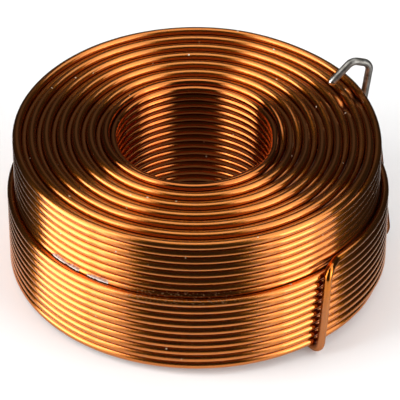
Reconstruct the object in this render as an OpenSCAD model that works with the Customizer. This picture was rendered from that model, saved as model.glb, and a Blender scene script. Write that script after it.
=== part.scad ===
// Air core inductor: one length of enamelled copper wire, wound in nested layers on a mandrel,
// bonded turn to turn so that it holds itself, with both leads folded round the winding.

/* [Wire] */
// Diameter of the wire over its enamel and bond coat
wire_d = 1.12; // [0.9:0.01:1.3]
// Diameter of the bare copper with its solder coat, at the lead ends
tinned_d = 1.02; // [0.7:0.01:1.2]
// Gap between neighbouring turns of a layer, filled by the bond coat
turn_gap = 0.005; // [0.003:0.001:0.03]
// Gap between nested layers, filled by the bond coat
layer_gap = 0.015; // [0.005:0.005:0.05]
// How far the bond coat fills the grooves, measured outward from the wire centres
groove_fill = 0.2; // [0.12:0.01:0.3]

/* [Winding] */
// Diameter of the bore that the mandrel left
bore_d = 20; // [14:0.5:30]
// Depth of the flat that the mandrel pressed on the innermost turns
crest_flat = 0.012; // [0.006:0.002:0.03]
// Full layers, counted outward from the bore
full_layers = 14; // [6:1:18]
// Turns in a full layer
layer_turns = 17; // [13:1:24]
// Whole turns in the outermost layer, which is only part filled
outer_turns = 10; // [5:1:14]
// Arc of the last part turn, in degrees
last_turn_arc = 61; // [30:1:90]

/* [Leads] */
// Centre line radius of the bends in the leads
bend_r = 1.3; // [1.1:0.1:1.6]
// Gap between the underside of the winding and the leads that pass below it
under_gap = 0.04; // [0.02:0.01:0.3]
// Slope at which the start lead drops from the first turn to below the winding, in degrees
drop_slope = 25; // [20:1:35]
// Straight length of the start lead before it drops
drop_stub = 0.1; // [0.05:0.05:0.2]

/* [Start lead] */
// Azimuth at which the start lead comes out from under the winding, in degrees
start_az = 8; // [0:1:15]
// Gap between the start lead and the outer wall
start_gap = 0.3; // [0.25:0.05:1]
// Share of its way round to the rim that the start lead makes below the ledge
slant_share = 0.75; // [0.5:0.05:0.85]
// Azimuth at which the start lead passes the top rim, in degrees
start_rim_az = 26.5; // [22:0.5:32]
// Gap between the start lead and the rim
rim_gap = 0.4; // [0.3:0.1:1.5]
// Depth below the top turns at which the start lead straightens up
rim_depth = 3.6; // [2:0.1:4.5]
// How far the start lead leans out from the rim to the hook's outer corner
hook_lean = 0.9; // [0.2:0.1:1.5]
// Height of the hook's outer corner above the top turns
hook_rise = 2.5; // [2:0.1:5]
// Height of the hook's crown above its outer corner
crown_rise = 1.05; // [0.5:0.05:2]
// Distance from the hook's outer corner inward to its crown
crown_reach = 2.6; // [2:0.1:4]
// Distance from the rim inward to the tip of the start lead
tip_reach = 4; // [3:0.1:8]
// Azimuth of the tip of the start lead, in degrees
tip_az = 28; // [24:0.5:34]
// Gap between the tip of the start lead and the top turns
tip_gap = 0.03; // [0.02:0.01:1]
// Share of the climb at which the tinning of the start lead begins
start_tin_from = 0.55; // [0.3:0.05:0.8]

/* [Finish lead] */
// Azimuth at which the finish lead leaves the last turn, in degrees
finish_az = -42; // [-50:1:-36]
// Straight length of the finish lead before it turns out from the last turn
leave_run = 0.8; // [0.5:0.1:1.2]
// Azimuth of the finish lead's top corner, in degrees
finish_corner_az = -49.5; // [-56:0.5:-47]
// How far the top corner lifts above the last turn
corner_lift = 0.3; // [0:0.1:0.6]
// Azimuth of the finish lead's lower corner, in degrees
finish_foot_az = -52; // [-58:0.5:-48]
// Gap between the finish lead's corners and the outer wall
finish_gap = 0.3; // [0.2:0.05:1]
// How far the finish lead bows out between its corners
finish_bow = 0.1; // [0:0.1:1]
// Share of the way down at which it bows out most
bow_at = 0.6; // [0.4:0.05:0.7]
// Length of the finish lead's tail under the winding
finish_tail = 12; // [9:0.5:14]
// Tinned length at the end of the tail
finish_tinned = 7; // [4:0.5:8.5]

/* [Adhesive] */
// Azimuth at which the dried adhesive strip starts, in degrees
strip_from = -141; // [-160:1:-130]
// Arc of each of its flakes, in degrees
flake_arcs = [7.5, 8, 5];
// Arc between two flakes, in degrees
flake_gap = 1; // [0.5:0.5:3]
// Thickness of the flakes
flake_t = 0.1; // [0.05:0.01:0.2]
// Angle above the horizontal that the flakes reach up to on the ledge turn, in degrees
flake_top = 62; // [40:1:80]

/* [Hidden] */

copper = "#b5671f";
tin = "#a9a49c";
cream = "#d9bfa4";

wire_sides = 48;
turn_sides = 180;
lead_sides = 16;
bend_step = 15;

wire_r = wire_d / 2;
tinned_r = tinned_d / 2;
bore_r = bore_d / 2;
pitch = wire_d + turn_gap;
// Each layer nests in the grooves of the one inside it, half a pitch higher or lower
layer_step = sqrt(pow(wire_d + layer_gap, 2) - pow(pitch / 2, 2));
underside = wire_d + under_gap;
outer_layer = full_layers + 1;
last = layer_turns - 1;

function raised(layer) = layer % 2 == 0 ? pitch / 2 : 0;
function layer_r(layer) = bore_r - crest_flat + wire_r + (layer - 1) * layer_step;
function turn_z(layer, turn) = underside + wire_r + turn * pitch + raised(layer);
// Centre of a turn's section: layers count outward from 1, turns count upward from 0
function turn_at(layer, turn) = [layer_r(layer), turn_z(layer, turn)];

// The lowest turn of the outermost full layer that the part-filled layer leaves in view
ledge_turn = outer_turns - (raised(full_layers) > 0 ? 1 : 0);
last_z = turn_z(outer_layer, outer_turns);
wall_r = layer_r(outer_layer) + wire_r;
rim_r = layer_r(full_layers) + wire_r;
top_z = underside + wire_d + last * pitch + pitch / 2;
out = [groove_fill, 0];
up = [0, groove_fill];

function polar(r, az, z) = [r * cos(az), r * sin(az), z];
function tangent(az) = [-sin(az), cos(az), 0];
function unit(v) = v / norm(v);
function between(a, b, share) = a + (b - a) * share;

// Length along a straight that a bend through an angle takes up
function setback(turn) = bend_r * tan(turn / 2);

// Points along the round bend that replaces the corner b of a route
function bend_points(a, b, c) =
    let (
        along = unit(b - a),
        onward = unit(c - b),
        turn = acos(along * onward),
        side = unit(onward - along * (along * onward)),
        start = b - along * setback(turn),
        steps = ceil(turn / bend_step)
    )
    [for (k = [0:steps]) let (t = turn * k / steps)
        start + bend_r * (sin(t) * along + (1 - cos(t)) * side)];

// Centre line through a list of corners, with every inner corner bent round
function centre_line(corners) = [
    corners[0],
    for (i = [1:len(corners) - 2]) each bend_points(corners[i - 1], corners[i], corners[i + 1]),
    corners[len(corners) - 1]
];

// Direction of a line at one of its points
function heading(line, i) =
    unit(line[min(i + 1, len(line) - 1)] - line[max(i - 1, 0)]);

// A vector across each point of a line, carried along it without twisting
function carried(line) = [
    for (
        i = 0,
        v = unit(cross(heading(line, 0), [0.31, 0.17, 0.94]));
        i < len(line);
        i = i + 1,
        v = i < len(line) ? unit(v - heading(line, i) * (v * heading(line, i))) : v
    ) v
];

// A round wire of radius r along a centre line
module wire_along(line, r) {
    across = carried(line);
    points = [
        for (i = [0:len(line) - 1], k = [0:lead_sides - 1])
            let (
                a = 360 * k / lead_sides,
                v = across[i],
                w = cross(heading(line, i), v)
            )
            line[i] + r * (cos(a) * v + sin(a) * w)
    ];
    final = (len(line) - 1) * lead_sides;
    sides = [
        for (i = [0:len(line) - 2], k = [0:lead_sides - 1])
            let (a = i * lead_sides + k, b = i * lead_sides + (k + 1) % lead_sides)
            each [[a, a + lead_sides, b], [b, a + lead_sides, b + lead_sides]]
    ];
    caps = [
        [for (k = [0:lead_sides - 1]) k],
        [for (k = [lead_sides - 1:-1:0]) final + k]
    ];
    polyhedron(points, concat(sides, caps), convexity = 6);
}

module turn_section(at) {
    translate(at) circle(d = wire_d, $fn = wire_sides);
}

// Takes away what the mandrel occupied
module off_the_mandrel() {
    difference() {
        children();
        square([bore_r, top_z + pitch]);
    }
}

// Section of the winding: the turns at its surface, on the bonded mass of the turns inside
module winding_section() {
    off_the_mandrel() union() {
        for (layer = [2:outer_layer]) turn_section(turn_at(layer, 0));
        for (turn = [1:outer_turns - 1]) turn_section(turn_at(outer_layer, turn));
        for (turn = [ledge_turn:last]) turn_section(turn_at(full_layers, turn));
        for (layer = [1:full_layers - 1]) turn_section(turn_at(layer, last));
        for (turn = [1:last - 1]) turn_section(turn_at(1, turn));
        polygon([
            for (layer = [2:outer_layer]) turn_at(layer, 0) - up,
            turn_at(outer_layer, 0) + out,
            turn_at(outer_layer, outer_turns - 1) + out,
            turn_at(outer_layer, outer_turns - 1) + up,
            turn_at(full_layers, ledge_turn) + out,
            turn_at(full_layers, last) + out,
            for (layer = [full_layers:-1:1]) turn_at(layer, last) + up,
            turn_at(1, last) - out,
            turn_at(1, 1) - out,
            turn_at(1, 1) - up
        ]);
    }
}

// The first turn of the first layer, which the start lead runs into
module first_turn() {
    rotate(start_az)
        rotate_extrude(angle = 360 - first_gap, $fn = turn_sides)
            off_the_mandrel() {
                turn_section(turn_at(1, 0));
                polygon([
                    turn_at(1, 0) - out, turn_at(1, 0) - up, turn_at(2, 0) - up / 2,
                    turn_at(2, 0), turn_at(1, 1), turn_at(1, 1) - out - up / 2
                ]);
            }
}

// The last part turn, which climbs onto the part-filled layer and ends in the finish lead
module last_turn() {
    rotate(finish_az)
        rotate_extrude(angle = last_turn_arc, $fn = turn_sides) {
            turn_section(turn_at(outer_layer, outer_turns));
            polygon([
                turn_at(outer_layer, outer_turns) + out, turn_at(outer_layer, outer_turns) + up,
                turn_at(full_layers, ledge_turn + 1) + up / 2, turn_at(full_layers, ledge_turn),
                turn_at(outer_layer, outer_turns - 1), turn_at(outer_layer, outer_turns - 1) + out + up / 2
            ]);
        }
}

module winding() {
    color(copper) union() {
        rotate_extrude($fn = turn_sides) winding_section();
        first_turn();
        last_turn();
    }
}

// The start lead runs on along the tangent of the first turn, drops below the winding and then
// turns outward. The first turn is left open over the arc that this takes.
drop_run = underside / tan(drop_slope);
floor_run = setback(drop_slope) + setback(90);
drop_at = drop_stub + setback(drop_slope);
first_run = drop_at + drop_run + floor_run;
first_gap = atan(first_run / layer_r(1));
first_az = start_az - first_gap;

// Corners of the start lead: out of the bore, under the winding, up the wall and over the rim
first_end = polar(layer_r(1), first_az, turn_z(1, 0));
first_drop = first_end + drop_at * tangent(first_az);
first_floor = first_drop + drop_run * tangent(first_az) - [0, 0, underside];
floor_turn = polar(norm([layer_r(1), first_run]), start_az, wire_r);
// The lead climbs the wall along a straight, which comes nearest to the wall halfway
climb_az = between(start_az, start_rim_az, slant_share);
start_wall_r = (wall_r + start_gap + wire_r) / cos((climb_az - start_az) / 2);
start_foot = polar(start_wall_r, start_az, wire_r);
start_climb = polar(start_wall_r, climb_az, last_z + wire_r);
start_rim = polar(rim_r + rim_gap + tinned_r, start_rim_az, top_z - rim_depth);
hook_r = norm([start_rim.x, start_rim.y]) + hook_lean;
hook_z = top_z + hook_rise;
hook_corner = polar(hook_r, start_rim_az, hook_z);
hook_crown = polar(hook_r - crown_reach, between(start_rim_az, tip_az, 0.5), hook_z + crown_rise);
start_tip = polar(rim_r - tip_reach, tip_az, top_z + tip_gap + tinned_r);
tin_line = between(start_climb, start_rim, start_tin_from);

module start_lead() {
    color(copper) wire_along(centre_line([
        first_end, first_drop, first_floor, floor_turn, start_foot, start_climb, tin_line
    ]), wire_r);
}

module start_tinned_end() {
    color(tin) wire_along(centre_line([
        tin_line, start_rim, hook_corner, hook_crown, start_tip
    ]), tinned_r);
}

// Corners of the finish lead: off the last turn, down the wall and under the winding
last_end = polar(layer_r(outer_layer), finish_az, last_z);
last_off = last_end - leave_run * tangent(finish_az);
finish_wall_r = wall_r + finish_gap + wire_r;
finish_corner = polar(finish_wall_r, finish_corner_az, last_z + corner_lift);
finish_mid = polar(finish_wall_r + finish_bow, between(finish_corner_az, finish_foot_az, bow_at),
    between(last_z, wire_r, bow_at));
finish_foot = polar(finish_wall_r, finish_foot_az, wire_r);
tail_end = polar(finish_wall_r - finish_tail, finish_foot_az, wire_r);
tail_line = polar(finish_wall_r - finish_tail + finish_tinned, finish_foot_az, wire_r);

module finish_lead() {
    color(copper) wire_along(centre_line([
        last_end, last_off, finish_corner, finish_mid, finish_foot, tail_line
    ]), wire_r);
}

module finish_tinned_end() {
    color(tin) wire_along([tail_line, tail_end], tinned_r);
}

// Section of a flake of dried adhesive on the ledge turn, below the turn above it
module flake_section() {
    translate(turn_at(full_layers, ledge_turn)) difference() {
        intersection() {
            circle(r = wire_r + flake_t, $fn = wire_sides);
            polygon([
                [0, 0],
                for (a = [0, flake_top / 2, flake_top]) wire_d * 2 * [cos(a), sin(a)]
            ]);
        }
        circle(d = wire_d, $fn = wire_sides);
        translate([0, pitch]) circle(d = wire_d, $fn = wire_sides);
        square([groove_fill, pitch]);
    }
}

// Flakes of dried adhesive along the ledge above the part-filled layer
module adhesive() {
    starts = [
        for (i = 0, a = strip_from; i < len(flake_arcs); a = a + flake_arcs[i] + flake_gap, i = i + 1) a
    ];
    color(cream) for (i = [0:len(flake_arcs) - 1])
        rotate(starts[i]) rotate_extrude(angle = flake_arcs[i], $fn = turn_sides) flake_section();
}

winding();
start_lead();
start_tinned_end();
finish_lead();
finish_tinned_end();
adhesive();
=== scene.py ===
"""Air core inductor: the wound wire, its leads and the light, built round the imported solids."""
import math

import bpy
import numpy as np
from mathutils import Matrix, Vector


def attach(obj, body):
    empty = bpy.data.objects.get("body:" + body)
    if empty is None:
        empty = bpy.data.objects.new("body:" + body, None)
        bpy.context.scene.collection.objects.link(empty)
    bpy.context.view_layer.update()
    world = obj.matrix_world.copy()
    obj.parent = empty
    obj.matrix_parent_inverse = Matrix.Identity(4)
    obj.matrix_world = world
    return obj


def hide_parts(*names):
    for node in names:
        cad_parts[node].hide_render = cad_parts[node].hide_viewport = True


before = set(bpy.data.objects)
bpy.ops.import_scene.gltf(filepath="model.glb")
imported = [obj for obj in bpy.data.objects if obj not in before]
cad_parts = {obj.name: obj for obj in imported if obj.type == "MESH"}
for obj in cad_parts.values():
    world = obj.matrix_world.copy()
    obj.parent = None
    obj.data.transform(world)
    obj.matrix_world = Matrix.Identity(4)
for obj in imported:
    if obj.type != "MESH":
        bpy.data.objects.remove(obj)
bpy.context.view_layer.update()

# Lengths here are in millimetres and angles in degrees; meshes are scaled to metres when made.
MM = 0.001

# Sizes of the solids: wire, winding and leads
WIRE_D = 1.12
WIRE_R = WIRE_D / 2
TINNED_R = 0.51
TURN_GAP = 0.005
LAYER_GAP = 0.015
PITCH = WIRE_D + TURN_GAP
LAYER_STEP = math.sqrt((WIRE_D + LAYER_GAP) ** 2 - (PITCH / 2) ** 2)
UNDER_GAP = 0.04
UNDERSIDE = WIRE_D + UNDER_GAP
BORE_D = 20.0
CREST_FLAT = 0.012
FULL_LAYERS = 14
OUTER_LAYER = FULL_LAYERS + 1
LAYER_TURNS = 17
TOP_TURN = LAYER_TURNS - 1
OUTER_TURNS = 10
LEDGE_TURN = OUTER_TURNS - 1
BEND_R = 1.3
DROP_SLOPE = 25.0
DROP_STUB = 0.1

# Start lead, from the wall to the tip of its hook
START_AZ = 8.0
START_GAP = 0.3
SLANT_SHARE = 0.75
START_RIM_AZ = 26.5
RIM_GAP = 0.4
RIM_DEPTH = 3.6
HOOK_LEAN = 0.9
HOOK_RISE = 2.5
CROWN_RISE = 1.05
CROWN_REACH = 2.6
TIP_REACH = 4.0
TIP_AZ = 28.0
TIP_GAP = 0.03
START_TIN_FROM = 0.55

# Finish lead, from the last turn to its tail under the winding
FINISH_AZ = -42.0
LEAVE_RUN = 0.8
FINISH_CORNER_AZ = -49.5
CORNER_LIFT = 0.3
FINISH_FOOT_AZ = -52.0
FINISH_GAP = 0.3
FINISH_BOW = 0.1
BOW_AT = 0.6
FINISH_TAIL = 12.0
FINISH_TINNED = 7.0

# The crossover zone, on the right: the wire is wound clockwise seen from above, so azimuth falls
# along it, and each turn steps to the next one over this arc, within a window of it
ZONE_FROM = 40.0
ZONE_ARC = 95.0
EVEN_WINDOW = (0.08, 0.62)
ODD_WINDOW = (0.42, 0.97)
FOOT_WINDOW = (0.2, 0.8)
LAST_WINDOW = (0.25, 0.86)
CLIMB_HUMP = 0.12

# Arcs of a length of wire that run on out of sight, ahead of its first crossover and past its last
HIDDEN_BEFORE = 15.0
HIDDEN_AFTER = 135.0

# Where the turns leave true circles: height, azimuth and width of each soft bulge
RIGHT_BULGE = (0.3, -20.0, 35.0)
BACK_DENT = (-0.25, 55.0, 18.0)
OUTER_BULGE = (0.2, 6.0, 28.0)
BORE_SHIFT = -0.3
WAVER = 0.012
RADIAL_RATES = (1.37, 4.13)
UPRIGHT_RATES = (1.71, 3.61)

# Kinks in the top turns: the layer of each, its drop, azimuth and width
KINKS = ((13, (-0.4, 22.0, 2.6)), (11, (-0.4, 18.5, 2.6)))
KINK_LAYERS = 0.6
KINK_DEPTH = 2.2

# Fineness of the meshes
STEP_DEG = 1.7
WIRE_SIDES = 20
FOOT_SIDES = 14
LEAD_SIDES = 24
MASS_SIDES = 144
BEND_STEP = 5.0
LEAD_STEP = 0.5
HOOK_STEP = 0.3
TIP_RINGS = 7
TIP_SWEEP = 88.0
TIP_CLEAR = 0.02
TIP_NEAR = 3.0


def layer_r(layer):
    return BORE_D / 2 - CREST_FLAT + WIRE_R + (layer - 1) * LAYER_STEP


def turn_z(layer, turn):
    return UNDERSIDE + WIRE_R + turn * PITCH + (PITCH / 2 if layer % 2 == 0 else 0.0)


def setback(turn):
    """Length from a corner to where its bend starts."""
    return BEND_R * math.tan(math.radians(turn) / 2)


RIM_R = layer_r(FULL_LAYERS) + WIRE_R
WALL_R = layer_r(OUTER_LAYER) + WIRE_R
TOP_Z = turn_z(2, TOP_TURN) + WIRE_R
LAST_Z = turn_z(OUTER_LAYER, OUTER_TURNS)
LEDGE_Z = turn_z(FULL_LAYERS, LEDGE_TURN)

# The wire leaves the bore by a slope down to the floor and a bend outward
drop_run = UNDERSIDE / math.tan(math.radians(DROP_SLOPE))
drop_at = DROP_STUB + setback(DROP_SLOPE)
first_run = drop_at + drop_run + setback(DROP_SLOPE) + setback(90)
first_az = START_AZ - math.degrees(math.atan(first_run / layer_r(1)))


def polar(r, az, z):
    a = math.radians(az)
    return np.array([r * math.cos(a), r * math.sin(a), z])


def tangent(az):
    a = math.radians(az)
    return np.array([-math.sin(a), math.cos(a), 0.0])


def between(a, b, share):
    return a + (b - a) * share


def eased(share, window):
    x = np.clip((share - window[0]) / (window[1] - window[0]), 0, 1)
    return x * x * (3 - 2 * x)


def bulge(az, form):
    height, centre, width = form
    return height * np.exp(-((az - centre) / width) ** 2)


def waver(arc, rates, phases):
    waves = [np.sin(np.radians(arc * rate) + phase) for rate, phase in zip(rates, phases)]
    return WAVER * sum(waves) / len(waves)


def window_of(start, end):
    if start[0] == end[0]:
        return EVEN_WINDOW if start[0] % 2 == 0 else ODD_WINDOW
    return ODD_WINDOW if start[0] % 2 else FOOT_WINDOW


def turns_line(turns, before, after, seed, last_window=None):
    """Centre line of one length of wire through a list of (layer, turn). It steps from each to the
    next in the crossover zone. before and after are the arcs ahead of the first zone and past the
    start of the last one."""
    rng = np.random.default_rng(seed)
    phases = rng.uniform(0, 2 * math.pi, 4)
    steps = len(turns) - 1
    count = int(round((before + 360 * (steps - 1) + after) / STEP_DEG)) + 1
    arc = np.linspace(-before, 360 * (steps - 1) + after, count)
    step = np.clip(np.floor(arc / 360), 0, steps - 1).astype(int)
    share = np.clip((arc - 360 * step) / ZONE_ARC, 0, 1)
    r = np.zeros(count)
    z = np.zeros(count)
    layer = np.zeros(count)
    for i in range(steps):
        at = step == i
        a, b = turns[i], turns[i + 1]
        window = last_window if last_window and i == steps - 1 else window_of(a, b)
        e = eased(share[at], window)
        layer[at] = between(a[0], b[0], e)
        r[at] = between(layer_r(a[0]), layer_r(b[0]), e)
        z[at] = between(turn_z(*a), turn_z(*b), e)
        if a[0] != b[0]:
            hump = CLIMB_HUMP if a[1] > TOP_TURN / 2 else -CLIMB_HUMP
            z[at] += hump * np.sin(math.pi * e)
    az = ZONE_FROM - arc
    turn_az = (az + 180) % 360 - 180
    outward = (layer - 1) / (OUTER_LAYER - 1)
    outermost = np.clip(layer - FULL_LAYERS, 0, 1)
    r += outward * (bulge(turn_az, RIGHT_BULGE) + bulge(turn_az, BACK_DENT))
    r += outermost * bulge(turn_az, OUTER_BULGE)
    for kink_layer, form in KINKS:
        on_top = (np.abs(layer - kink_layer) < KINK_LAYERS) & (z > TOP_Z - KINK_DEPTH)
        z[on_top] += bulge(turn_az[on_top], form)
    r += waver(arc, RADIAL_RATES, phases[:2])
    z += waver(arc, UPRIGHT_RATES, phases[2:])
    a = np.radians(az)
    shift = BORE_SHIFT * (1 - outward)
    return np.stack([r * np.cos(a) + shift, r * np.sin(a), z], 1)


def headings(line):
    d = np.zeros_like(line)
    d[1:-1] = line[2:] - line[:-2]
    d[0] = line[1] - line[0]
    d[-1] = line[-1] - line[-2]
    return d / np.linalg.norm(d, axis=1)[:, None]


def level_frames(line):
    """Two directions across each point of a line that lies nearly level."""
    t = headings(line)
    side = np.cross(t, [0, 0, 1.0])
    side /= np.linalg.norm(side, axis=1)[:, None]
    return side, np.cross(t, side)


def carried_frames(line):
    """Two directions across each point of any line, carried along it without twisting."""
    t = headings(line)
    side = np.zeros_like(line)
    off_axis = [0.31, 0.17, 0.94]
    v = np.cross(t[0], off_axis)
    for i in range(len(line)):
        v = v - t[i] * (v @ t[i])
        v = v / np.linalg.norm(v)
        side[i] = v
    return side, np.cross(t, side)


def tube(line, radius, sides, frames):
    """Vertices and faces of a closed round tube. radius is one number or one for each point. The flat
    ends have points of their own, so that the shading of the sides runs on to the edge."""
    side, up = frames(line)
    n = len(line)
    radius = np.broadcast_to(np.asarray(radius, float), (n,))
    turn = 2 * math.pi * np.arange(sides) / sides
    ring = np.cos(turn)[None, :, None] * side[:, None, :] + np.sin(turn)[None, :, None] * up[:, None, :]
    points = (line[:, None, :] + radius[:, None, None] * ring).reshape(-1, 3)
    k = np.arange(sides)
    j = (k + 1) % sides
    i = np.arange(n - 1)[:, None] * sides
    quads = np.stack([i + k, i + sides + k, i + sides + j, i + j], 2).reshape(-1, 4)
    caps = np.concatenate([points[:sides], points[-sides:]])
    ends = [[n * sides + x for x in range(sides)][::-1], [(n + 1) * sides + x for x in range(sides)]]
    return np.concatenate([points, caps]), quads[:, ::-1].tolist() + ends


def turn_tube(line, sides=WIRE_SIDES):
    return tube(line, WIRE_R, sides, level_frames)


def lead_tube(line, radius):
    return tube(line, radius, LEAD_SIDES, carried_frames)


def joined(parts):
    points, faces, start = [], [], 0
    for p, f in parts:
        points.append(p)
        faces += [[v + start for v in face] for face in f]
        start += len(p)
    return np.concatenate(points), faces


def mesh_object(name, points, faces, material):
    mesh = bpy.data.meshes.new(name)
    mesh.from_pydata((np.asarray(points) * MM).tolist(), [], faces)
    mesh.validate()
    mesh.materials.append(material)
    obj = bpy.data.objects.new(name, mesh)
    bpy.context.scene.collection.objects.link(obj)
    return obj


def piece(name, shape, material, node, smooth=True):
    """One piece of the object, in place of a node. Faces of more than four corners are ends, which stay
    flat."""
    obj = mesh_object(name, *shape, material)
    if smooth:
        polygons = obj.data.polygons
        corners = np.zeros(len(polygons), np.int32)
        polygons.foreach_get("loop_total", corners)
        polygons.foreach_set("use_smooth", corners <= 4)
    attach(obj, "root")
    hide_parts(node)


def stage_piece(name, shape, material):
    mesh_object(name, *shape, material)


# Material nodes

def new_material(name):
    material = bpy.data.materials.new(name)
    material.use_nodes = True
    tree = material.node_tree
    shader = tree.nodes["Principled BSDF"]
    coords = tree.nodes.new("ShaderNodeTexCoord")
    return material, tree, shader, coords.outputs["Object"]


def noise(tree, coords, scale, detail=3.0, rough=0.55):
    node = tree.nodes.new("ShaderNodeTexNoise")
    node.inputs["Scale"].default_value = scale
    node.inputs["Detail"].default_value = detail
    node.inputs["Roughness"].default_value = rough
    tree.links.new(coords, node.inputs["Vector"])
    return node.outputs["Fac"]


def ramp(tree, value, stops):
    node = tree.nodes.new("ShaderNodeValToRGB")
    elements = node.color_ramp.elements
    while len(elements) < len(stops):
        elements.new(0.5)
    for element, (at, colour) in zip(elements, stops):
        element.position = at
        element.color = (*colour, 1.0)
    tree.links.new(value, node.inputs["Fac"])
    return node.outputs["Color"]


def two_tone(tree, value, tones):
    return ramp(tree, value, [(0.3, tones[0]), (0.7, tones[1])])


def spread(tree, value, low, high, from_low=0.3, from_high=0.7):
    """The value, rescaled from one range to another and held within it."""
    node = tree.nodes.new("ShaderNodeMapRange")
    node.inputs["From Min"].default_value = from_low
    node.inputs["From Max"].default_value = from_high
    node.inputs["To Min"].default_value = low
    node.inputs["To Max"].default_value = high
    tree.links.new(value, node.inputs["Value"])
    return node.outputs["Result"]


def combined(tree, operation, first, second):
    node = tree.nodes.new("ShaderNodeMath")
    node.operation = operation
    tree.links.new(first, node.inputs[0])
    tree.links.new(second, node.inputs[1])
    return node.outputs["Value"]


def mixed(tree, share, colour, other):
    node = tree.nodes.new("ShaderNodeMix")
    node.data_type = "RGBA"
    tree.links.new(share, node.inputs["Factor"])
    tree.links.new(colour, node.inputs[6])
    node.inputs[7].default_value = (*other, 1.0)
    return node.outputs[2]


def split(tree, coords):
    node = tree.nodes.new("ShaderNodeSeparateXYZ")
    tree.links.new(coords, node.inputs[0])
    return node.outputs


def band(tree, value, low, high, soft):
    """1 between low and high, 0 beyond, with soft edges. All in millimetres."""
    rise = spread(tree, value, 0.0, 1.0, (low - soft) * MM, low * MM)
    fall = spread(tree, value, 1.0, 0.0, high * MM, (high + soft) * MM)
    return combined(tree, "MULTIPLY", rise, fall)


BUMP_DEPTH = 0.1


def bump(tree, shader, height, strength):
    node = tree.nodes.new("ShaderNodeBump")
    node.inputs["Strength"].default_value = strength
    node.inputs["Distance"].default_value = BUMP_DEPTH * MM
    tree.links.new(height, node.inputs["Height"])
    tree.links.new(node.outputs["Normal"], shader.inputs["Normal"])


SPECK_WARP = 0.3
SPECK_WARP_RATE = 9
SPECK_CORE = 0.8


def specks(tree, coords, scale, size):
    """1 in sparse small specks, 0 elsewhere."""
    cells = tree.nodes.new("ShaderNodeTexVoronoi")
    cells.inputs["Scale"].default_value = scale
    warp = tree.nodes.new("ShaderNodeVectorMath")
    warp.operation = "MULTIPLY_ADD"
    shake = tree.nodes.new("ShaderNodeTexNoise")
    shake.inputs["Scale"].default_value = scale * SPECK_WARP_RATE
    tree.links.new(coords, shake.inputs["Vector"])
    tree.links.new(shake.outputs["Color"], warp.inputs[0])
    warp.inputs[1].default_value = [SPECK_WARP * MM] * 3
    tree.links.new(coords, warp.inputs[2])
    tree.links.new(warp.outputs["Vector"], cells.inputs["Vector"])
    return spread(tree, cells.outputs["Distance"], 1.0, 0.0, size * SPECK_CORE, size)


# Enamelled copper. Tones are a darkest and a lightest colour.

WINDING_TONES = ((0.52, 0.147, 0.01), (0.59, 0.172, 0.013))
# Painted shade: the bore's copper is painted darker than the winding's.
BORE_SHADE_TONES = ((0.46, 0.12, 0.008), (0.52, 0.14, 0.011))
FINISH_TONES = ((0.4, 0.13, 0.03), (0.5, 0.18, 0.055))
# Painted shade: the start lead's copper, far darker than the winding's.
START_SHADE_TONES = ((0.1, 0.03, 0.006), (0.14, 0.043, 0.009))
# Painted shade: the copper is darkened towards this colour in the grooves between turns.
GROOVE_SHADE_COLOUR = (0.14, 0.028, 0.0015)
UPPER_COLOUR = (0.55, 0.155, 0.007)
DUST_COLOUR = (0.6, 0.5, 0.4)
LEDGE_DUST_COLOUR = (0.16, 0.085, 0.05)
GRAZING_TINT = (0.85, 0.6, 0.35, 1.0)
GROOVE_REACH = 0.9
GROOVE_SPAN = (0.18, 0.62)
UPPER_FADE = 4.0
UPPER_FROM = 11.0

# Where fine dust lies on the front of the ledge: low, high and soft edge along each axis
LEDGE_DUST_SPANS = {
    "X": (-9.0, 4.0, 3.0),
    "Y": (-40.0, -20.0, 0.5),
    "Z": (LEDGE_Z - 1.1, LEDGE_Z + 0.5, 0.1),
}


def ledge_dust(tree, coords):
    place = split(tree, coords)
    where = specks(tree, coords, scale=3200, size=0.27)
    for axis, span in LEDGE_DUST_SPANS.items():
        where = combined(tree, "MULTIPLY", where, band(tree, place[axis], *span))
    return where


def painted_groove_shade(tree, colour):
    """The colour, with painted shade darkening it in the grooves between turns."""
    closeness = tree.nodes.new("ShaderNodeAmbientOcclusion")
    closeness.samples = 8
    closeness.inputs["Distance"].default_value = GROOVE_REACH * MM
    groove_shade = spread(tree, closeness.outputs["AO"], 1.0, 0.0, *GROOVE_SPAN)
    return mixed(tree, groove_shade, colour, GROOVE_SHADE_COLOUR)


def drawn_lines(tree, shader, amount):
    """Fine lines along turns about the z axis, which spread the highlights across the wire."""
    node = tree.nodes.new("ShaderNodeTangent")
    node.direction_type = "RADIAL"
    node.axis = "Z"
    tree.links.new(node.outputs["Tangent"], shader.inputs["Tangent"])
    shader.inputs["Anisotropic"].default_value = amount
    shader.inputs["Anisotropic Rotation"].default_value = 0.25


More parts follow.
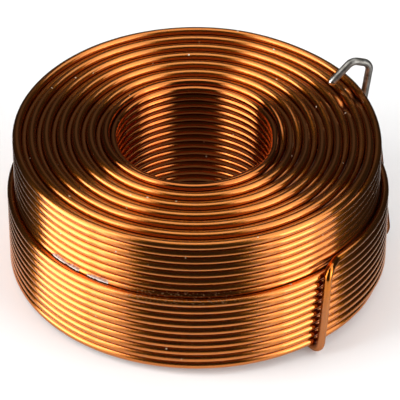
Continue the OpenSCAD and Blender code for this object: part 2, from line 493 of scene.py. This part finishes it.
def enamelled_copper(name, tones, rough_span, coat, drawn=0.0, upper_from=None):
    """drawn is the amount of drawn lines for turns of the winding; it also brings painted shade into the
    grooves.
    The last argument is the height above which a lead fades to a colour like the winding's and lower
    roughness."""
    material, tree, shader, at = new_material(name)
    colour = two_tone(tree, noise(tree, at, scale=90, detail=4.0), tones)
    rough = spread(tree, noise(tree, at, scale=260, detail=4.0), *rough_span)
    if drawn:
        # Painted shade: the colour darkens in the grooves between the turns.
        colour = painted_groove_shade(tree, colour)
        drawn_lines(tree, shader, drawn)
    if upper_from:
        height = split(tree, at)["Z"]
        upper_share = spread(tree, height, 0.0, 1.0, (upper_from - UPPER_FADE) * MM, upper_from * MM)
        colour = mixed(tree, upper_share, colour, UPPER_COLOUR)
        rough = combined(tree, "MULTIPLY", rough, spread(tree, upper_share, 1.0, 0.5, 0.0, 1.0))
    dust = specks(tree, at, scale=420, size=0.055)
    colour = mixed(tree, dust, colour, DUST_COLOUR)
    if drawn:
        fine = ledge_dust(tree, at)
        colour = mixed(tree, fine, colour, LEDGE_DUST_COLOUR)
        dust = combined(tree, "MAXIMUM", dust, fine)
    tree.links.new(colour, shader.inputs["Base Color"])
    tree.links.new(spread(tree, dust, 1.0, 0.0, 0.0, 1.0), shader.inputs["Metallic"])
    tree.links.new(rough, shader.inputs["Roughness"])
    shader.inputs["Specular Tint"].default_value = GRAZING_TINT
    shader.inputs["Coat Weight"].default_value = coat
    shader.inputs["Coat Roughness"].default_value = 0.08
    shader.inputs["Coat IOR"].default_value = 1.5
    bump(tree, shader, noise(tree, at, scale=700, detail=3.0), 0.06)
    return material


# Other materials

TIN_STOPS = [(0.3, (0.08, 0.072, 0.06)), (0.5, (0.22, 0.21, 0.19)), (0.75, (0.32, 0.31, 0.29))]
BEAD_COLOUR = (0.7, 0.69, 0.66)
BEAD_R = 0.6
BEAD_FADE_R = 1.1
# Painted shade: the near-black of the bonded mass seen between the turns.
BOND_SHADE_TONES = ((0.03, 0.011, 0.003), (0.06, 0.024, 0.006))
ADHESIVE_STOPS = [(0.35, (0.3, 0.11, 0.06)), (0.5, (0.48, 0.25, 0.17)), (0.65, (0.62, 0.46, 0.38))]
ADHESIVE_EDGE_COLOUR = (0.8, 0.74, 0.7)
ADHESIVE_EDGE_SPAN = (0.12, 0.24)


def tinned_copper(bead):
    """bead is the place of the smooth solder bead at the tip, in millimetres."""
    material, tree, shader, at = new_material("tinned_copper")
    colour = ramp(tree, noise(tree, at, scale=700, detail=4.0, rough=0.6), TIN_STOPS)
    away = tree.nodes.new("ShaderNodeVectorMath")
    away.operation = "DISTANCE"
    away.inputs[1].default_value = tuple(bead * MM)
    tree.links.new(at, away.inputs[0])
    near = spread(tree, away.outputs["Value"], 1.0, 0.0, BEAD_R * MM, BEAD_FADE_R * MM)
    tree.links.new(mixed(tree, near, colour, BEAD_COLOUR), shader.inputs["Base Color"])
    tree.links.new(spread(tree, near, 0.42, 0.1, 0.0, 1.0), shader.inputs["Roughness"])
    shader.inputs["Metallic"].default_value = 1.0
    bump(tree, shader, noise(tree, at, scale=1500, detail=4.0, rough=0.6), 0.2)
    return material


# Near-black: painted shade for the depths between the turns, on the bonded mass.
def bond_coat_shade():
    material, tree, shader, at = new_material("bond_coat_shade")
    colour = two_tone(tree, noise(tree, at, scale=400, detail=3.0), BOND_SHADE_TONES)
    rough = spread(tree, noise(tree, at, scale=900, detail=2.0), 0.45, 0.65)
    tree.links.new(colour, shader.inputs["Base Color"])
    tree.links.new(rough, shader.inputs["Roughness"])
    return material


def dried_adhesive():
    """Thin and pinkish where the copper shows through, pale along its thick lower edge."""
    material, tree, shader, at = new_material("dried_adhesive")
    colour = ramp(tree, noise(tree, at, scale=2200, detail=3.0, rough=0.6), ADHESIVE_STOPS)
    edge_from, edge_to = ((LEDGE_Z + rise) * MM for rise in ADHESIVE_EDGE_SPAN)
    low = spread(tree, split(tree, at)["Z"], 1.0, 0.0, edge_from, edge_to)
    tree.links.new(mixed(tree, low, colour, ADHESIVE_EDGE_COLOUR), shader.inputs["Base Color"])
    rough = spread(tree, noise(tree, at, scale=1400, detail=3.0), 0.4, 0.6)
    tree.links.new(rough, shader.inputs["Roughness"])
    shader.inputs["Specular IOR Level"].default_value = 0.15
    bump(tree, shader, noise(tree, at, scale=2600, detail=4.0, rough=0.6), 0.6)
    return material


COPPER = enamelled_copper("enamelled_copper", WINDING_TONES, (0.2, 0.26), 0.9, drawn=0.8)
# The mandrel pressed the crests in the bore smooth. The bore's copper is also a painted-shade copy of the
# winding's, with darker tones.
BORE_COPPER = enamelled_copper("enamelled_copper_bore_shaded", BORE_SHADE_TONES, (0.13, 0.17), 0.7, drawn=0.5)
FINISH_COPPER = enamelled_copper(
    "enamelled_copper_finish", FINISH_TONES, (0.32, 0.42), 0.5, upper_from=UPPER_FROM
)
# The start lead's copper is painted near-black as shade, so its side facing the right lights stays dark.
START_COPPER = enamelled_copper("enamelled_copper_start_shaded", START_SHADE_TONES, (0.46, 0.56), 0.1)

# The winding, as the lengths of wire that show at its surface. Odd layers climb and even ones
# descend, so neighbouring lengths join inside the winding.

def up_layer(layer, first, last):
    return [(layer, k) for k in range(first, last + 1)]


def down_layer(layer, first, last):
    return [(layer, k) for k in range(first, last - 1, -1)]


def over_top(odd, first, last):
    """Turns that climb an odd layer from the first and descend the next layer to the last."""
    return up_layer(odd, first, TOP_TURN) + down_layer(odd + 1, TOP_TURN, last)


def under_foot(even, first, last):
    """Turns that descend an even layer from the first and climb the next layer to the last."""
    return down_layer(even, first, 0) + up_layer(even + 1, 0, last)


def winding_piece(name, shape, material, smooth=True):
    piece(name, shape, material, "winding", smooth)


NEXT_TO_TOP = TOP_TURN - 1

bore_line = turns_line(over_top(1, 0, NEXT_TO_TOP), 360 - (ZONE_FROM - first_az), HIDDEN_AFTER, 1)
winding_piece("bore_turns", turn_tube(bore_line), BORE_COPPER)

top_parts = []
for odd in range(3, FULL_LAYERS - 1, 2):
    line = turns_line(over_top(odd, NEXT_TO_TOP, NEXT_TO_TOP), HIDDEN_BEFORE, HIDDEN_AFTER, 10 + odd)
    top_parts.append(turn_tube(line))
winding_piece("top_turns", joined(top_parts), COPPER)

upper_turns = over_top(FULL_LAYERS - 1, NEXT_TO_TOP, LEDGE_TURN - 1)
upper_line = turns_line(upper_turns, HIDDEN_BEFORE, HIDDEN_AFTER, 30)
winding_piece("upper_wall_turns", turn_tube(upper_line), COPPER)

lower_turns = under_foot(FULL_LAYERS, 1, OUTER_TURNS)
lower_line = turns_line(lower_turns, HIDDEN_BEFORE, ZONE_FROM - FINISH_AZ, 31, LAST_WINDOW)
winding_piece("lower_wall_turns", turn_tube(lower_line), COPPER)

foot_parts = []
for even in range(2, FULL_LAYERS, 2):
    line = turns_line(under_foot(even, 1, 1), HIDDEN_BEFORE, HIDDEN_AFTER, 50 + even)
    foot_parts.append(turn_tube(line, FOOT_SIDES))
winding_piece("underside_turns", joined(foot_parts), COPPER)


def lathe(profile, count):
    """A ring made by turning a closed profile of (r, z) points about the axis."""
    a = 2 * math.pi * np.arange(count) / count
    r, z = np.array(profile).T
    n = len(profile)
    points = np.stack([np.outer(np.cos(a), r), np.outer(np.sin(a), r), np.outer(np.ones(count), z)], 2)
    faces = []
    for i in range(count):
        for k in range(n):
            a0, a1 = i * n + k, i * n + (k + 1) % n
            b0, b1 = ((i + 1) % count) * n + k, ((i + 1) % count) * n + (k + 1) % n
            faces.append([a0, b0, b1, a1])
    return points.reshape(-1, 3), faces


# The bonded mass fills the inside, a little short of the crests of the turns round it. Its near-black colour
# is painted shade for the depths between the turns.
MASS_FOOT = 0.45
MASS_HEAD = 0.35
MASS_LEDGE = 0.2
MASS_SIDE = 0.1
mass_bore_r = layer_r(1)
mass_rim_r = layer_r(FULL_LAYERS) - MASS_SIDE
mass_wall_r = layer_r(OUTER_LAYER) - MASS_SIDE
mass_low = turn_z(1, 0) + MASS_FOOT
mass_ledge = turn_z(OUTER_LAYER, OUTER_TURNS - 1) - MASS_LEDGE
mass_top = turn_z(1, TOP_TURN) - MASS_HEAD
mass_profile = [
    (mass_bore_r, mass_top), (mass_rim_r, mass_top), (mass_rim_r, mass_ledge),
    (mass_wall_r, mass_ledge), (mass_wall_r, mass_low), (mass_bore_r, mass_low),
]
winding_piece("bonded_mass", lathe(mass_profile, MASS_SIDES), bond_coat_shade(), smooth=False)

# The leads

def bent(corners):
    """Centre line through corners, with every inner corner bent round."""
    out = [corners[0]]
    for a, b, c in zip(corners, corners[1:], corners[2:]):
        along = (b - a) / np.linalg.norm(b - a)
        onward = (c - b) / np.linalg.norm(c - b)
        turn = math.acos(np.clip(along @ onward, -1, 1))
        side = onward - along * (along @ onward)
        side /= np.linalg.norm(side)
        start = b - along * setback(math.degrees(turn))
        count = max(2, math.ceil(math.degrees(turn) / BEND_STEP))
        for k in range(count + 1):
            t = turn * k / count
            out.append(start + BEND_R * (math.sin(t) * along + (1 - math.cos(t)) * side))
    out.append(corners[-1])
    return np.array(out)


def dense(line, gap=LEAD_STEP):
    """The same line with more points on its long straights."""
    out = [line[0]]
    for a, b in zip(line, line[1:]):
        count = max(1, math.ceil(np.linalg.norm(b - a) / gap))
        out += [between(a, b, k / count) for k in range(1, count + 1)]
    return np.array(out)


def rounded_end(line, radius):
    """A line and its radii, with a round tip at the end of the line."""
    t = (line[-1] - line[-2]) / np.linalg.norm(line[-1] - line[-2])
    base = line[-1] - t * radius
    a = np.radians(np.linspace(0, TIP_SWEEP, TIP_RINGS))
    keep = [p for p in line if (base - p) @ t > TIP_CLEAR or np.linalg.norm(p - base) > TIP_NEAR]
    tip = base + np.outer(np.sin(a), t) * radius
    return np.concatenate([keep, tip]), np.concatenate([np.full(len(keep), radius), radius * np.cos(a)])


first_end = polar(layer_r(1), first_az, turn_z(1, 0))
first_drop = first_end + drop_at * tangent(first_az)
first_floor = first_drop + drop_run * tangent(first_az) - np.array([0, 0, UNDERSIDE])
floor_turn = polar(math.hypot(layer_r(1), first_run), START_AZ, WIRE_R)
slant_az = between(START_AZ, START_RIM_AZ, SLANT_SHARE)
start_wall_r = (WALL_R + START_GAP + WIRE_R) / math.cos(math.radians(slant_az - START_AZ) / 2)
start_foot = polar(start_wall_r, START_AZ, WIRE_R)
start_slant = polar(start_wall_r, slant_az, LAST_Z + WIRE_R)
start_rim_r = RIM_R + RIM_GAP + TINNED_R
start_rim = polar(start_rim_r, START_RIM_AZ, TOP_Z - RIM_DEPTH)
hook_r = start_rim_r + HOOK_LEAN
hook_z = TOP_Z + HOOK_RISE
hook_corner = polar(hook_r, START_RIM_AZ, hook_z)
hook_crown = polar(hook_r - CROWN_REACH, between(START_RIM_AZ, TIP_AZ, 0.5), hook_z + CROWN_RISE)
start_tip = polar(RIM_R - TIP_REACH, TIP_AZ, TOP_Z + TIP_GAP + TINNED_R)
start_tin = between(start_slant, start_rim, START_TIN_FROM)
TIN = tinned_copper(start_tip)

start_line = dense(bent([first_end, first_drop, first_floor, floor_turn, start_foot, start_slant, start_tin]))
piece("start_wire", lead_tube(start_line, WIRE_R), START_COPPER, "start_lead")
hook_line = dense(bent([start_tin, start_rim, hook_corner, hook_crown, start_tip]), HOOK_STEP)
hook_shape = lead_tube(*rounded_end(hook_line, TINNED_R))
piece("start_hook", hook_shape, TIN, "start_tinned_end")

finish_wall_r = WALL_R + FINISH_GAP + WIRE_R
bow_az = between(FINISH_CORNER_AZ, FINISH_FOOT_AZ, BOW_AT)
last_end = lower_line[-1]
last_off = last_end - LEAVE_RUN * tangent(FINISH_AZ)
finish_corner = polar(finish_wall_r, FINISH_CORNER_AZ, LAST_Z + CORNER_LIFT)
finish_mid = polar(finish_wall_r + FINISH_BOW, bow_az, between(LAST_Z, WIRE_R, BOW_AT))
finish_foot = polar(finish_wall_r, FINISH_FOOT_AZ, WIRE_R)
finish_tin = polar(finish_wall_r - FINISH_TAIL + FINISH_TINNED, FINISH_FOOT_AZ, WIRE_R)
tail_end = polar(finish_wall_r - FINISH_TAIL, FINISH_FOOT_AZ, WIRE_R)

finish_line = dense(bent([last_end, last_off, finish_corner, finish_mid, finish_foot, finish_tin]))
piece("finish_wire", lead_tube(finish_line, WIRE_R), FINISH_COPPER, "finish_lead")
tail_shape = lead_tube(*rounded_end(dense(np.array([finish_tin, tail_end])), TINNED_R))
piece("finish_tip", tail_shape, TIN, "finish_tinned_end")

# Dried adhesive on the ledge turn: three flakes, each thin and pointed at its first end. Angles are
# taken round the section of the turn, from level outward.

FLAKES = ((-140.4, -134.0, 3), (-134.2, -128.4, 4), (-125.8, -117.7, 5))
FLAKE_ROWS = 30
FLAKE_COLUMNS = 9
POINT_LOW = 20.0
POINT_HIGH = 24.0
BROAD_LOW = 2.0
BROAD_HIGH = 50.0
RAGGED_LOW = 9.0
RAGGED_HIGH = 12.0
LOWEST = 1.0
HIGHEST = 60.0
NARROWEST = 2.0
FLAKE_T = 0.085
THINNEST_SHARE = 0.35
TOP_THINNING = 0.4
END_T = 0.01
TOP_EDGE_T = 0.015
FLAKE_SINK = 0.06
POINT_SHARE = 0.4
POINT_POWER = 0.6
BLUNT_FROM = 0.85
BLUNT_LOSS = 0.35
SMOOTHING = (0.2, 0.6, 0.2)


def flake_grid(az_from, az_to, seed):
    """Upper and lower skin of a flake, as rows of points along the ledge."""
    rng = np.random.default_rng(seed)
    u = np.linspace(0, 1, FLAKE_ROWS)
    v = np.linspace(0, 1, FLAKE_COLUMNS)
    blunt = np.clip((u - BLUNT_FROM) / (1 - BLUNT_FROM), 0, 1)
    width = np.minimum(1, (u / POINT_SHARE) ** POINT_POWER) * (1 - BLUNT_LOSS * blunt)
    ragged = [np.convolve(rng.uniform(-1, 1, FLAKE_ROWS + 2), SMOOTHING, "valid") for _ in range(2)]
    low = between(POINT_LOW, BROAD_LOW, width) + RAGGED_LOW * ragged[0]
    low = np.clip(low, LOWEST, HIGHEST)
    high = between(POINT_HIGH, BROAD_HIGH, width) + RAGGED_HIGH * ragged[1]
    high = np.clip(high, low + NARROWEST, HIGHEST)
    angle = np.radians(between(low[:, None], high[:, None], v))
    uneven = between(THINNEST_SHARE, 1, rng.uniform(0, 1, (FLAKE_ROWS, FLAKE_COLUMNS)))
    thick = FLAKE_T * uneven * (1 - TOP_THINNING * v)
    thick[[0, -1]] = END_T
    thick[:, -1] = TOP_EDGE_T
    az = np.radians(between(az_from, az_to, u))[:, None]
    skins = []
    for rise in (thick, np.full_like(thick, -FLAKE_SINK)):
        r = layer_r(FULL_LAYERS) + (WIRE_R + rise) * np.cos(angle)
        z = LEDGE_Z + (WIRE_R + rise) * np.sin(angle)
        skins.append(np.stack([r * np.cos(az), r * np.sin(az), z], 2).reshape(-1, 3))
    return np.concatenate(skins)


def flake_faces():
    rows, columns = FLAKE_ROWS, FLAKE_COLUMNS
    n = rows * columns
    faces = []
    for i in range(rows - 1):
        for k in range(columns - 1):
            q = [i * columns + k, (i + 1) * columns + k, (i + 1) * columns + k + 1, i * columns + k + 1]
            faces.append(q)
            faces.append([n + x for x in q[::-1]])
    edge = [(i * columns, (i + 1) * columns) for i in range(rows - 1)]
    edge += [((rows - 1) * columns + k, (rows - 1) * columns + k + 1) for k in range(columns - 1)]
    edge += [((i + 1) * columns + columns - 1, i * columns + columns - 1) for i in range(rows - 1)]
    edge += [(k + 1, k) for k in range(columns - 1)]
    return faces + [[b, a, n + a, n + b] for a, b in edge]


flakes = joined([(flake_grid(*row), flake_faces()) for row in FLAKES])
piece("adhesive_flakes", flakes, dried_adhesive(), "adhesive", smooth=False)

# The winding stands on a white plinth, with a grey table well below it

PLINTH_X = (-34.0, 34.0)
PLINTH_Y = (-42.0, 68.0)
HOLE_R = 9.0
HOLE_SIDES = 64
TABLE_Z = -280.0
TABLE_HALF = 3000.0
PLINTH_TONES = ((0.85, 0.85, 0.85), (0.87, 0.87, 0.87))
PLINTH_GLOW = 0.15
TABLE_TONES = ((0.15, 0.15, 0.15), (0.17, 0.17, 0.17))


def stage_material(name, tones, scale, glow=0.0):
    """glow is added for camera and mirror rays alone, so it lights nothing."""
    material, tree, shader, at = new_material(name)
    colour = two_tone(tree, noise(tree, at, scale, detail=2.0), tones)
    tree.links.new(colour, shader.inputs["Base Color"])
    shader.inputs["Roughness"].default_value = 0.9
    shader.inputs["Specular IOR Level"].default_value = 0.0
    if glow:
        rays = tree.nodes.new("ShaderNodeLightPath")
        seen = rays.outputs["Is Camera Ray"]
        for kind in ("Is Glossy Ray", "Is Transmission Ray"):
            seen = combined(tree, "MAXIMUM", seen, rays.outputs[kind])
        shader.inputs["Emission Color"].default_value = (1.0, 1.0, 1.0, 1.0)
        tree.links.new(spread(tree, seen, 0.0, glow, 0.0, 1.0), shader.inputs["Emission Strength"])
    return material


def floor_plane():
    """A point and the normal of the floor, which touches the leads' inner ends and the far edge of the
    winding."""
    a = first_floor - np.array([0, 0, WIRE_R])
    b = tail_end - np.array([0, 0, TINNED_R])
    across = np.array([b[1] - a[1], a[0] - b[0]])
    across /= np.linalg.norm(across)
    if across[0] < 0:
        across = -across
    c = np.array([*(-layer_r(OUTER_LAYER) * across), UNDERSIDE])
    normal = np.cross(b - a, c - a)
    normal /= np.linalg.norm(normal)
    return a, normal if normal[2] > 0 else -normal


floor_at, floor_normal = floor_plane()


def floor_z(x, y):
    slope = floor_normal[:2] / floor_normal[2]
    return floor_at[2] - (x - floor_at[0]) * slope[0] - (y - floor_at[1]) * slope[1]


def reach_to(span, part):
    """How far along a direction the side of the plinth lies. part is the direction's share of that axis."""
    return span[part > 0] / part if abs(part) > 1e-9 else math.inf


def plinth():
    """A hollow block, open in a round hole under the bore."""
    corners = [(x, y) for x in PLINTH_X for y in PLINTH_Y]
    turn = set(2 * math.pi * np.arange(HOLE_SIDES) / HOLE_SIDES - math.pi)
    turn = sorted(turn | {math.atan2(y, x) for x, y in corners})
    outer, inner = [], []
    for a in turn:
        c, s = math.cos(a), math.sin(a)
        reach = min(reach_to(PLINTH_X, c), reach_to(PLINTH_Y, s))
        outer.append((reach * c, reach * s))
        inner.append((HOLE_R * c, HOLE_R * s))
    n = len(turn)
    points = [(x, y, floor_z(x, y)) for x, y in outer + inner]
    points += [(x, y, TABLE_Z) for x, y in outer]
    faces = []
    for i in range(n):
        j = (i + 1) % n
        faces.append((i, j, n + j, n + i))
        faces.append((i, 2 * n + i, 2 * n + j, j))
    return points, faces


def table():
    corners = ((-1, -1), (1, -1), (1, 1), (-1, 1))
    return [(x * TABLE_HALF, y * TABLE_HALF, TABLE_Z) for x, y in corners], [(0, 1, 2, 3)]


stage_piece("plinth", plinth(), stage_material("white_plinth", PLINTH_TONES, 40, PLINTH_GLOW))
stage_piece("table", table(), stage_material("grey_table", TABLE_TONES, 20))

# Light

TARGET_Z = 11.0
LIGHT_DISTANCE = 420.0
CORE_DISTANCE = 400.0
WORLD_COLOUR = (0.03, 0.03, 0.03, 1.0)


def area_light(name, width, height, radiance):
    light = bpy.data.lights.new(name, "AREA")
    light.shape = "RECTANGLE"
    light.size = width * MM
    light.size_y = height * MM
    light.energy = radiance * math.pi * light.size * light.size_y
    obj = bpy.data.objects.new(name, light)
    bpy.context.scene.collection.objects.link(obj)
    return obj


def softbox(name, azimuth, elevation, width, height, radiance, distance=LIGHT_DISTANCE):
    """A softbox that faces the winding from a direction. width and height are angles that it spans."""
    spans = [2 * distance * math.tan(math.radians(angle) / 2) for angle in (width, height)]
    obj = area_light(name, *spans, radiance)
    rise = math.radians(elevation)
    towards = Vector(polar(math.cos(rise), azimuth, math.sin(rise)))
    obj.location = Vector((0, 0, TARGET_Z * MM)) + towards * distance * MM
    obj.rotation_mode = "QUATERNION"
    obj.rotation_quaternion = (-towards).to_track_quat("-Z", "Y")


def overhead(name, x_span, y_span, radiance, height=LIGHT_DISTANCE):
    """A level softbox above the winding. The spans are shares of its height."""
    obj = area_light(name, (x_span[1] - x_span[0]) * height, (y_span[1] - y_span[0]) * height, radiance)
    obj.location = Vector((sum(x_span) / 2, sum(y_span) / 2, 1.0)) * height * MM


# Azimuth, elevation, width, height and radiance of each
softbox("softbox_left", -168.5, 13, 39, 98, 3.3)
softbox("softbox_left_core", -167.5, 8, 33, 36, 3.2, CORE_DISTANCE)
softbox("softbox_left_edge", -145, 10, 8, 84, 4.2)
softbox("softbox_left_fade", -137.5, 10, 7, 84, 2.2)
softbox("softbox_left_end", -130.5, 10, 7, 84, 0.8)
softbox("softbox_right", -26.5, 13, 37, 96, 2.1)
softbox("softbox_right_core", -34, 8, 20, 34, 3.6, CORE_DISTANCE)
softbox("softbox_right_edge", -48.5, 10, 7, 84, 1.6)
softbox("softbox_right_fade", -55.5, 10, 7, 84, 0.4)
softbox("softbox_back", 90, 37, 36, 24, 0.08)
overhead("softbox_top", (-0.45, 1.0), (-0.24, 0.68), 1.55)

world = bpy.data.worlds.new("studio")
world.use_nodes = True
world.node_tree.nodes["Background"].inputs["Color"].default_value = WORLD_COLOUR
world.node_tree.nodes["Background"].inputs["Strength"].default_value = 1.0
bpy.context.scene.world = world
bpy.context.scene.view_settings.view_transform = "Standard"

# Camera, fitted to the photograph: its focal length and image centre are in pixels of it

PHOTO_PX = 400
FOCAL_PX = 3022.3
CENTRE_PX = (196.41, 189.94)
SENSOR = 36.0
CAMERA_ELEVATION = 37.74
CAMERA_DISTANCE = 398.9
CLIP_START = 10.0

camera_rise = math.radians(CAMERA_ELEVATION)
camera_data = bpy.data.cameras.new("camera")
camera_data.sensor_width = SENSOR
camera_data.lens = SENSOR * FOCAL_PX / PHOTO_PX
camera_data.shift_x = (PHOTO_PX / 2 - CENTRE_PX[0]) / PHOTO_PX
camera_data.shift_y = (CENTRE_PX[1] - PHOTO_PX / 2) / PHOTO_PX
camera_data.clip_start = CLIP_START * MM
camera = bpy.data.objects.new("camera", camera_data)
camera_back = CAMERA_DISTANCE * math.cos(camera_rise)
camera_up = CAMERA_DISTANCE * math.sin(camera_rise)
camera.location = (0, -camera_back * MM, (TARGET_Z + camera_up) * MM)
camera.rotation_euler = (math.pi / 2 - camera_rise, 0, 0)
bpy.context.scene.collection.objects.link(camera)
bpy.context.scene.camera = camera
